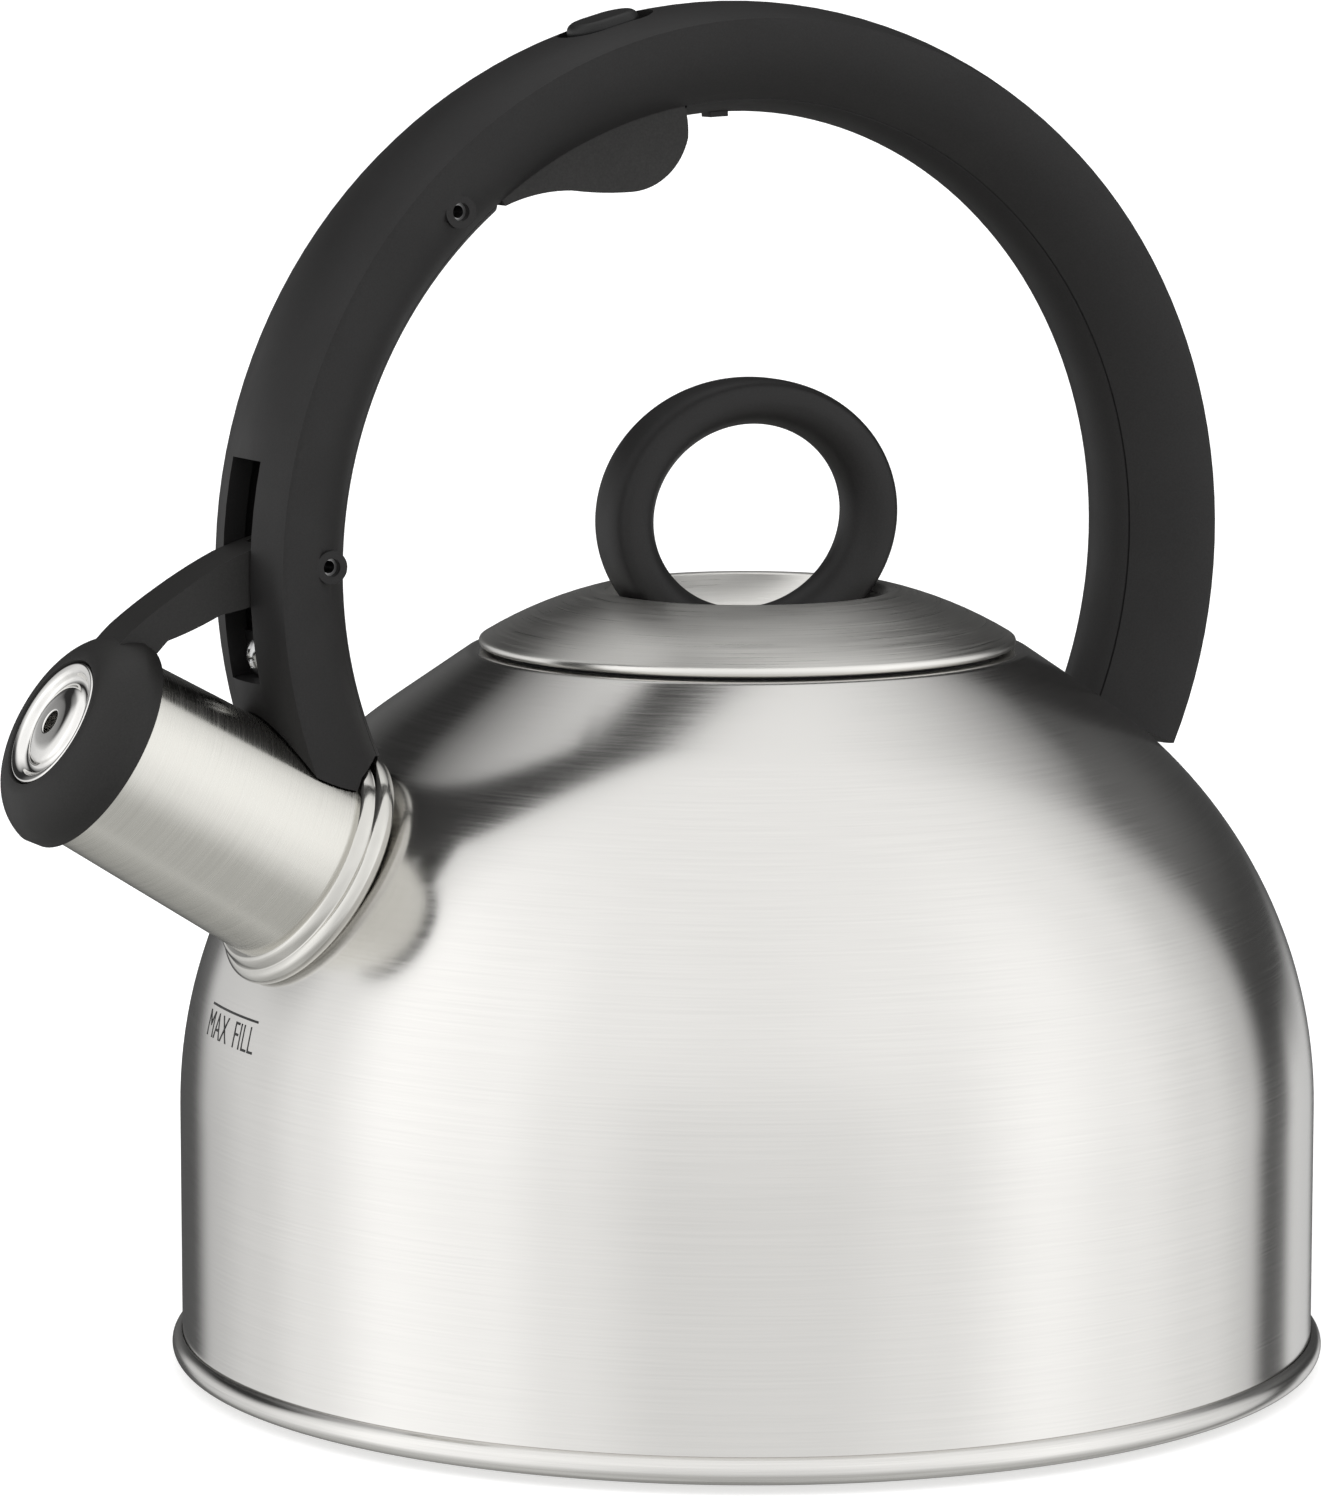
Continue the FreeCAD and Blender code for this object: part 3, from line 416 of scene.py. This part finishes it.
@dataclass(frozen=True)
class Polished:
    """Bright metal with a faint wander in its gloss."""

    name: str
    tone: tuple[float, float, float] = (0.72, 0.71, 0.69)
    rough: float = 0.1
    grain: float = 260.0

    def build(self) -> bpy.types.Material:
        """Make the material; roughness wanders with a soft noise over the piece."""
        g = Graph(self.name)
        wander = g.noise(g.place((1.0, 1.0, 1.0), False), self.grain, 3.0)
        g.tint(g.span(wander, 0.0, 1.0), tuple(c * 0.95 for c in self.tone), self.tone)
        g.feed(g.skin.inputs["Roughness"], g.span(wander, self.rough * 0.7, self.rough * 1.4))
        g.bump(g.noise(g.place((1.0, 1.0, 1.0), False), 2200.0, 2.0), 0.05, 0.00003)
        g.skin.inputs["Metallic"].default_value = 1.0
        return g.material


@dataclass(frozen=True)
class Moulded:
    """Matt moulded plastic or rubber with a fine spark texture."""

    name: str
    tone: tuple[float, float, float] = (0.0105, 0.01, 0.01)
    rough: float = 0.5
    grain: float = 3400.0
    relief: float = 0.16
    gloss: float = 0.27

    def build(self) -> bpy.types.Material:
        """Make the material; a fine noise pits the skin and a broad one varies its gloss."""
        g = Graph(self.name)
        place = g.place((1.0, 1.0, 1.0), False)
        fine = g.noise(place, self.grain, 2.0, 0.6)
        broad = g.noise(place, 70.0, 3.0)
        g.tint(g.span(fine, 0.0, 1.0), tuple(c * 0.82 for c in self.tone),
               tuple(c * 1.2 for c in self.tone))
        g.feed(g.skin.inputs["Roughness"], g.span(broad, self.rough - 0.05, self.rough + 0.05))
        g.bump(fine, self.relief, 0.00006)
        g.skin.inputs["Specular IOR Level"].default_value = self.gloss
        return g.material


FINISHES = {
    "brushed_body": BrushedSteel("brushed_body", rough=0.18, streak=0.035, relief=0.06),
    "brushed_base": BrushedSteel("brushed_base", rough=0.2),
    "aluminium_core": Polished("aluminium_core", (0.62, 0.63, 0.64), 0.35),
    "inner_steel": Polished("inner_steel", (0.55, 0.54, 0.52), 0.3),
    "brushed_spout": BrushedSteel("brushed_spout", (0.64, 0.63, 0.59), 0.25),
    "polished_collar": Polished("polished_collar", (0.6, 0.59, 0.56), 0.14),
    "handle_black": Moulded("handle_black"),
    "cover_black": Moulded("cover_black", rough=0.52),
    "bracket_steel": Polished("bracket_steel", (0.42, 0.42, 0.42), 0.34),
    "screw_steel": Polished("screw_steel", (0.6, 0.6, 0.6), 0.18),
    "pin_steel": Polished("pin_steel", (0.3, 0.3, 0.3), 0.35),
    "trigger_black": Moulded("trigger_black", (0.016, 0.0155, 0.015), 0.55, 2600.0, 0.3),
    "spring_steel": Polished("spring_steel", (0.45, 0.45, 0.46), 0.25),
    "cap_black": Moulded("cap_black", (0.012, 0.0115, 0.011), 0.5),
    "whistle_chrome": Polished("whistle_chrome", (0.78, 0.77, 0.75), 0.08),
    "seal_rubber": Moulded("seal_rubber", (0.05, 0.05, 0.052), 0.7),
    "button_black": Moulded("button_black", (0.009, 0.009, 0.009), 0.42),
    "brushed_lid": BrushedSteel("brushed_lid", (0.74, 0.73, 0.7), 0.33),
    "knob_black": Moulded("knob_black", (0.01, 0.0095, 0.0095), 0.47),
}


@dataclass
class Shop:
    """Hands out finished materials and fits pieces to the frame.

    Attributes:
        made: materials already made, by slot name.
    """

    frame: dict
    made: dict[str, bpy.types.Material] = field(default_factory=dict)

    def material(self, slot: str) -> bpy.types.Material:
        """The material of a slot, made once."""
        if slot not in self.made:
            self.made[slot] = FINISHES[slot].build()
        return self.made[slot]

    def fit(self, thing: bpy.types.Object, body: Part, slot: str, *nodes: str) -> bpy.types.Object:
        """Finish a piece, let it ride on a body and stand for its CAD nodes."""
        thing.data.materials.clear()
        thing.data.materials.append(self.material(slot))
        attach(thing, body.value)
        if nodes:
            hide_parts(*nodes)
        return thing

    def paint_rest(self) -> None:
        """Give every CAD node its slot's material, over its whole mesh."""
        slots = {row["node"]: row["material_slot"] for row in self.frame["record"]["subparts"]}
        for name, thing in self.frame["nodes"].items():
            slot = slots[name]
            thing.data.materials.clear()
            thing.data.materials.append(self.material(slot))


# ------------------------------------------------------------------ vessel
def dome_outline(inset: float = 0.0) -> Outline:
    """The vessel's outer skin from its lower edge to its neck, moved inwards by an inset."""
    slope = math.radians(55.6)
    bend = 83.5 - inset
    centre = 97.5 - 83.5
    return (Outline().to(97.5 - inset, 5.0).to(97.5 - inset, 45.0)
            .arc(centre + bend * math.cos(slope), 45.0 + bend * math.sin(slope), bend))


def dome_solid(name: str, grow: float = 0.0) -> bpy.types.Object:
    """The vessel's outer form as a closed solid, grown by a clearance; a cutting tool."""
    path = dome_outline(-grow)
    path.to(47.6 + grow, 123.2 + grow).to(0.0, 123.2 + grow).to(0.0, 0.0).to(97.5 + grow, 0.0)
    return turned(name, path)


@dataclass
class Vessel:
    """The domed body with its fill mark, base pan, spout tube and collar."""

    shop: Shop

    def body(self) -> None:
        """The brushed dome, a thin closed shell with a rolled mouth."""
        outer = dome_outline()
        inner = dome_outline(0.7).points()[::-1]
        outer.to(47.6, 123.2, 0.8).to(40.2, 123.2, 0.6).to(40.2, 118.5).to(40.9, 118.5)
        outer.to(40.9, 122.5).to(47.3, 122.5)
        outer.spots.extend(inner)
        shell = turned("body_shell", outer, count=256)
        bore = turned("bore", Outline().to(0, -40).to(17.55, -40).to(17.55, 10).to(0, 10), SPOUT,
                      count=96)
        carve(shell, bore)
        self.shop.fit(shell, Part.KETTLE, "brushed_body", "kettle_body")

    def base(self) -> None:
        """The base pan with its rolled bead standing a hair clear of the wall."""
        path = Outline().to(0.0, 0.0).to(92.6, 0.0, 1.2).to(96.9, 1.3, 0.4)
        path.arc(97.6, 5.9, 2.35, Side.RIGHT, 0.2).to(97.55, 5.0).to(96.4, 5.0).to(96.4, 4.2)
        path.to(92.5, 0.8).to(0.0, 0.8)
        pan = turned("base_pan_skin", path, count=256)
        self.shop.fit(pan, Part.KETTLE, "brushed_base", "base_pan")

    def spout(self) -> None:
        """The tapered tube, cut to the dome, and the double bead round its root."""
        path = Outline().to(17.55, -20).to(18.35, -20).to(16.32, 34.5, 0.3).to(15.52, 34.5, 0.3)
        tube = turned("spout_tube_skin", path, SPOUT, count=128)
        carve(tube, dome_solid("dome_tool"))
        self.shop.fit(tube, Part.KETTLE, "brushed_spout", "spout_tube")
        ring = Outline().to(17.9, -12.4).to(20.2, -12.4).arc(19.9, -8.8, 1.85, Side.RIGHT, 0.25)
        ring.arc(18.9, -6.8, 3.0, Side.RIGHT, 0.4).to(17.7, -6.8)
        collar = turned("collar_ring", ring, SPOUT, count=128)
        carve(collar, dome_solid("dome_tool"))
        self.shop.fit(collar, Part.KETTLE, "polished_collar", "spout_collar")

    def printed(self, spots: np.ndarray) -> np.ndarray:
        """Lay flat points (along, up, proud) in millimetres on the dome beside the spout.

        Along runs round the dome from its left end at y = 16.2; the radius at each height is
        that of the shoulder arc, centred 14 mm out at height 45.
        """
        along, up, proud = spots[..., 0], spots[..., 1], spots[..., 2]
        turn = math.asin(16.2 / 94.6) - along / 94.6
        radius = 14.0 + np.sqrt(83.5 ** 2 - (up - 45.0) ** 2) + proud
        return np.stack([-radius * np.cos(turn), radius * np.sin(turn), up], -1)

    def mark(self) -> None:
        """The fill line and its generic words, printed a hair proud of the dome."""
        along = np.r_[0.0, np.linspace(0.0, 20.4, 41), 20.4]
        open_wide = np.r_[0.0, np.ones(41), 0.0]
        section = np.array([(-0.19, 0.0), (-0.19, 0.05), (0.19, 0.05), (0.19, 0.0), (-0.19, 0.0)])
        run = np.broadcast_to(along, (5, 43))
        up = 66.9 + section[:, :1] * open_wide
        proud = section[:, 1:] * open_wide
        line = grid("fill_line", self.printed(np.stack([run, up, proud], -1)))
        self.shop.fit(line, Part.KETTLE, "button_black")
        curve = bpy.data.curves.new("fill_words", "FONT")
        curve.body = "MAX FILL"
        curve.extrude = 0.02
        curve.offset = -0.012
        curve.space_word = 1.7
        curve.resolution_u = 4
        flat = new_object("fill_words_flat", curve)
        bpy.context.view_layer.update()
        mesh = bpy.data.meshes.new_from_object(flat.evaluated_get(
            bpy.context.evaluated_depsgraph_get()))
        bpy.data.objects.remove(flat)
        spots = np.empty(len(mesh.vertices) * 3)
        mesh.vertices.foreach_get("co", spots)
        spots = spots.reshape(-1, 3)
        low, high = spots.min(0), spots.max(0)
        share = (spots - low) / (high - low)
        laid = np.array([-0.2, 61.6, 0.0]) + share * np.array([20.4, 4.3, 0.05])
        mesh.vertices.foreach_set("co", (self.printed(laid) * MM).reshape(-1))
        weld(mesh)
        self.shop.fit(new_object("fill_words", mesh), Part.KETTLE, "button_black")

    def build(self) -> None:
        """Make the vessel's pieces."""
        self.body()
        self.mark()
        self.base()
        self.spout()


# ------------------------------------------------------------------ lid
@dataclass
class Lid:
    """The dished lid with its ring knob."""

    shop: Shop

    def skin(self) -> None:
        """The brushed cover: a hemmed edge, a slope up to the rim and a sunk dish."""
        path = Outline().to(0.0, 127.1).to(18.9, 127.1).to(24.8, 132.3).to(25.6, 132.5)
        path.arc(44.0, 124.7, 70, Side.LEFT).to(44.0, 123.7, 0.2).to(45.3, 123.7)
        path.arc(45.6, 125.2, 0.9, Side.RIGHT, 0.25).arc(25.8, 133.4, 70, Side.RIGHT, 0.5)
        path.to(24.4, 133.2, 0.4).arc(18.9, 127.9, 22, Side.LEFT, 1.2).to(0.0, 127.9)
        cover = turned("lid_cover", path, count=224)
        self.shop.fit(cover, Part.LID, "brushed_lid", "lid_shell")

    def knob(self) -> None:
        """The ring: a rounded section carried round an oval and flattened at its foot.

        A section point (share, side) lies between the inner oval, share nought, and the
        outer oval, share one. Its inner half is half an ellipse and its outer half a fuller,
        squarer curve with powers of sine and cosine. Heights below the dish are raised to it.
        """
        way = np.linspace(-math.pi / 2, math.pi / 2, 33)
        inner = np.stack([0.62 - 0.62 * np.cos(way), 5.6 * np.sin(way)], -1)
        outer = np.stack([0.62 + 0.4 * np.cos(way) ** 0.6,
                          5.6 * np.sign(np.sin(way)) * np.abs(np.sin(way)) ** 0.75], -1)[::-1]
        path = np.concatenate([inner, outer[1:]])
        turn = np.linspace(-math.pi / 2, 1.5 * math.pi, 193)
        share, angle = np.meshgrid(path[:, 0], turn, indexing="ij")
        side = np.meshgrid(path[:, 1], turn, indexing="ij")[0]
        wide = 19.0 + (27.6 - 19.0) * share
        high = 15.7 + (23.5 - 15.7) * share
        up = 145.7 + high * np.sin(angle)
        floor = 127.92 + (129.6 - 127.92) * np.clip((0.75 - share) / 0.4, 0, 1)
        spots = np.stack([wide * np.cos(angle), side, np.maximum(up, floor)], -1)
        ring = grid("knob_ring", spots, 60.0)
        self.shop.fit(ring, Part.LID, "knob_black", "lid_knob")

    def build(self) -> None:
        """Make the lid's pieces."""
        self.skin()
        self.knob()


# ------------------------------------------------------------------ handle
@dataclass
class Handle:
    """The arched grip with its inner covers, bosses, screws and pins."""

    shop: Shop

    def build(self) -> None:
        """Make the handle's pieces."""
        for node, slot in (("handle_shell", "handle_black"), ("handle_rear_cover", "cover_black"),
                           ("handle_front_cover", "cover_black")):
            self.shop.fit(merged(self.shop.frame, node, soften=0.4), Part.KETTLE, slot, node)
        for node, slot in (("front_handle_screw", "screw_steel"), ("trigger_pin", "pin_steel"),
                           ("rear_handle_screw", "screw_steel"), ("cap_pin", "pin_steel")):
            self.shop.fit(merged(self.shop.frame, node), Part.KETTLE, slot, node)


@dataclass
class Levers:
    """The trigger, the spout cap with its whistle, and the thumb lock."""

    shop: Shop

    def whistle(self) -> None:
        """The pressed whistle disc: a rolled edge, a groove and a raised centre."""
        path = Outline().to(2.0, 41.3).to(4.6, 41.6, 0.4).to(6.3, 41.2, 0.4).to(7.0, 40.3, 0.3)
        path.to(8.9, 40.3, 0.3).to(9.5, 41.2, 0.3).to(10.2, 41.3).to(10.2, 39.25)
        path.to(10.9, 39.25).to(10.9, 42.2, 0.2).to(10.6, 42.5, 0.2).to(9.4, 42.2, 0.5)
        path.to(8.6, 41.0, 0.6).to(7.3, 41.0, 0.6).to(6.7, 41.9, 0.5)
        path.arc(4.6, 42.6, 14, Side.RIGHT, 0.8).to(2.0, 42.7, 0.3)
        disc = turned("whistle_disc", path, SPOUT, count=96, sharp=50.0)
        self.shop.fit(disc, Part.CAP, "whistle_chrome", "whistle_face_plate")

    def build(self) -> None:
        """Make the levers' pieces."""
        for node, body, slot in (("trigger", Part.TRIGGER, "trigger_black"),
                                 ("spout_cap", Part.CAP, "cap_black"),
                                 ("lock_button", Part.LOCK, "button_black")):
            self.shop.fit(merged(self.shop.frame, node, soften=0.35), body, slot, node)
        self.whistle()


# ------------------------------------------------------------------ stage
@dataclass
class Studio:
    """A pale floor, soft light all round and the camera."""

    facing: float = math.radians(29.3)

    def floor(self) -> None:
        """A wide pale disc that glows a little, so that it stays light near the kettle."""
        path = Outline().to(0.0, -0.2).to(200.0, -0.2).to(2000.0, -0.2).to(30000.0, -0.2)
        disc = turned("floor", path, closed=False, count=96)
        disc.visible_glossy = False
        g = Graph("pale_floor")
        soft = g.noise(g.place((1.0, 1.0, 1.0), False), 3.0, 2.0)
        g.tint(g.span(soft, 0.0, 1.0), (0.86, 0.86, 0.86), (0.88, 0.88, 0.88))
        g.skin.inputs["Roughness"].default_value = 0.9
        g.skin.inputs["Emission Color"].default_value = (1.0, 1.0, 1.0, 1.0)
        g.skin.inputs["Emission Strength"].default_value = 0.45
        disc.data.materials.append(g.material)

    def ramp(self, tree: bpy.types.NodeTree, value: bpy.types.NodeSocket,
             stops: list[tuple[float, float]]) -> bpy.types.NodeSocket:
        """A brightness that follows a value from nought to one through some stops."""
        node = tree.nodes.new("ShaderNodeValToRGB")
        node.color_ramp.interpolation = "EASE"
        marks = node.color_ramp.elements
        while len(marks) < len(stops):
            marks.new(0.5)
        for mark, (place, bright) in zip(marks, stops):
            mark.position = place
            mark.color = (bright, bright, bright, 1.0)
        tree.links.new(value, node.inputs["Fac"])
        return node.outputs["Color"]

    def light(self) -> None:
        """Soft studio light: brightness by direction round the kettle and by height."""
        world = bpy.data.worlds.new("studio")
        bpy.context.scene.world = world
        world.use_nodes = True
        tree = world.node_tree

        def node(kind: str, links: dict, **settings) -> bpy.types.Node:
            made = tree.nodes.new(kind)
            for key, value in settings.items():
                setattr(made, key, value)
            for key, value in links.items():
                if isinstance(value, bpy.types.NodeSocket):
                    tree.links.new(value, made.inputs[key])
                else:
                    made.inputs[key].default_value = value
            return made

        spot = node("ShaderNodeTexCoord", {}).outputs["Generated"]
        front = math.atan2(-math.cos(self.facing), -math.sin(self.facing))
        turned_way = node("ShaderNodeVectorRotate", {"Vector": spot, "Angle": -front},
                          rotation_type="Z_AXIS").outputs["Vector"]
        parts = node("ShaderNodeSeparateXYZ", {"Vector": turned_way})
        around = node("ShaderNodeMath", {0: parts.outputs["Y"], 1: parts.outputs["X"]},
                      operation="ARCTAN2").outputs[0]
        around = node("ShaderNodeMath", {0: around, 1: 1 / (2 * math.pi), 2: 0.5},
                      operation="MULTIPLY_ADD").outputs[0]
        low = self.ramp(tree, around, [
            (0.0, 0.05), (0.075, 0.1), (0.105, 0.47), (0.18, 0.57), (0.23, 0.72), (0.29, 0.92),
            (0.354, 0.86), (0.4, 0.75), (0.46, 0.65), (0.54, 0.65), (0.604, 0.72), (0.67, 0.88),
            (0.73, 0.78), (0.79, 0.62), (0.835, 0.44), (0.86, 0.04), (1.0, 0.04)])
        middle = self.ramp(tree, around, [
            (0.0, 0.02), (0.17, 0.02), (0.225, 0.65), (0.28, 0.92), (0.354, 0.85), (0.42, 0.76),
            (0.5, 0.73), (0.6, 0.77), (0.69, 0.84), (0.77, 0.7), (0.815, 0.5), (0.86, 0.1),
            (1.0, 0.02)])
        level = self.ramp(tree, around, [
            (0.0, 0.05), (0.085, 0.06), (0.12, 0.42), (0.18, 0.57), (0.23, 0.72), (0.29, 0.9),
            (0.354, 0.84), (0.4, 0.73), (0.46, 0.62), (0.54, 0.63), (0.604, 0.7), (0.67, 0.86),
            (0.73, 0.76), (0.79, 0.64), (0.835, 0.5), (0.858, 0.06), (0.88, 0.1), (0.9, 0.5),
            (0.94, 0.42), (0.965, 0.08), (1.0, 0.05)])
        sink = node("ShaderNodeMapRange", {"Value": parts.outputs["Z"], "From Min": -0.02,
                                           "From Max": -0.12}).outputs["Result"]
        climb = node("ShaderNodeMapRange", {"Value": parts.outputs["Z"], "From Min": 0.12,
                                            "From Max": 0.38}).outputs["Result"]
        over = node("ShaderNodeMapRange", {"Value": parts.outputs["Z"], "From Min": 0.55,
                                           "From Max": 0.96}).outputs["Result"]
        under = node("ShaderNodeMapRange", {"Value": parts.outputs["Z"], "From Min": -0.3,
                                            "From Max": -0.7, "To Max": 0.75}).outputs["Result"]
        side = node("ShaderNodeMix", {"Factor": sink, "A": low, "B": level}, data_type="RGBA")
        side = node("ShaderNodeMix", {"Factor": climb, "A": side.outputs["Result"], "B": middle},
                    data_type="RGBA")
        both = node("ShaderNodeMix", {"Factor": over, "B": (0.74, 0.74, 0.74, 1.0)},
                    data_type="RGBA")
        tree.links.new(side.outputs["Result"], both.inputs["A"])
        both = node("ShaderNodeMix", {"Factor": under, "A": both.outputs["Result"],
                                      "B": (0.3, 0.3, 0.29, 1.0)}, data_type="RGBA")
        glow = node("ShaderNodeBackground", {"Color": both.outputs["Result"], "Strength": 1.62})
        plain = node("ShaderNodeBackground", {"Color": (1.0, 1.0, 1.0, 1.0), "Strength": 1.0})
        seen = node("ShaderNodeLightPath", {}).outputs["Is Camera Ray"]
        mix = node("ShaderNodeMixShader", {0: seen, 1: glow.outputs[0], 2: plain.outputs[0]})
        tree.links.new(mix.outputs[0], tree.nodes["World Output"].inputs["Surface"])

    def camera(self) -> None:
        """A long lens a little above the lid, in front of the spout's side."""
        data = bpy.data.cameras.new("camera")
        data.lens = 154.0
        data.sensor_width = 36.0
        data.clip_start, data.clip_end = 0.01, 100.0
        eye = bpy.data.objects.new("camera", data)
        bpy.context.scene.collection.objects.link(eye)
        eye.location = Vector((-0.5329, -0.9496, 0.2586))
        eye.rotation_euler = Euler((math.radians(81.989), 0.0, math.radians(-28.547)))
        bpy.context.scene.camera = eye

    def build(self) -> None:
        """Set up floor, light and camera."""
        self.floor()
        self.light()
        self.camera()
        bpy.context.scene.view_settings.view_transform = "Standard"


def main() -> None:
    """Load the frame, make every sub-assembly in order and set up the studio."""
    logging.basicConfig(level=logging.INFO, format="%(message)s")
    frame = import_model()
    shop = Shop(frame)
    shop.paint_rest()
    for maker in (Vessel(shop), Lid(shop), Handle(shop), Levers(shop)):
        log.info("building %s", type(maker).__name__)
        maker.build()
    Studio().build()


if __name__ == "__main__":
    main()
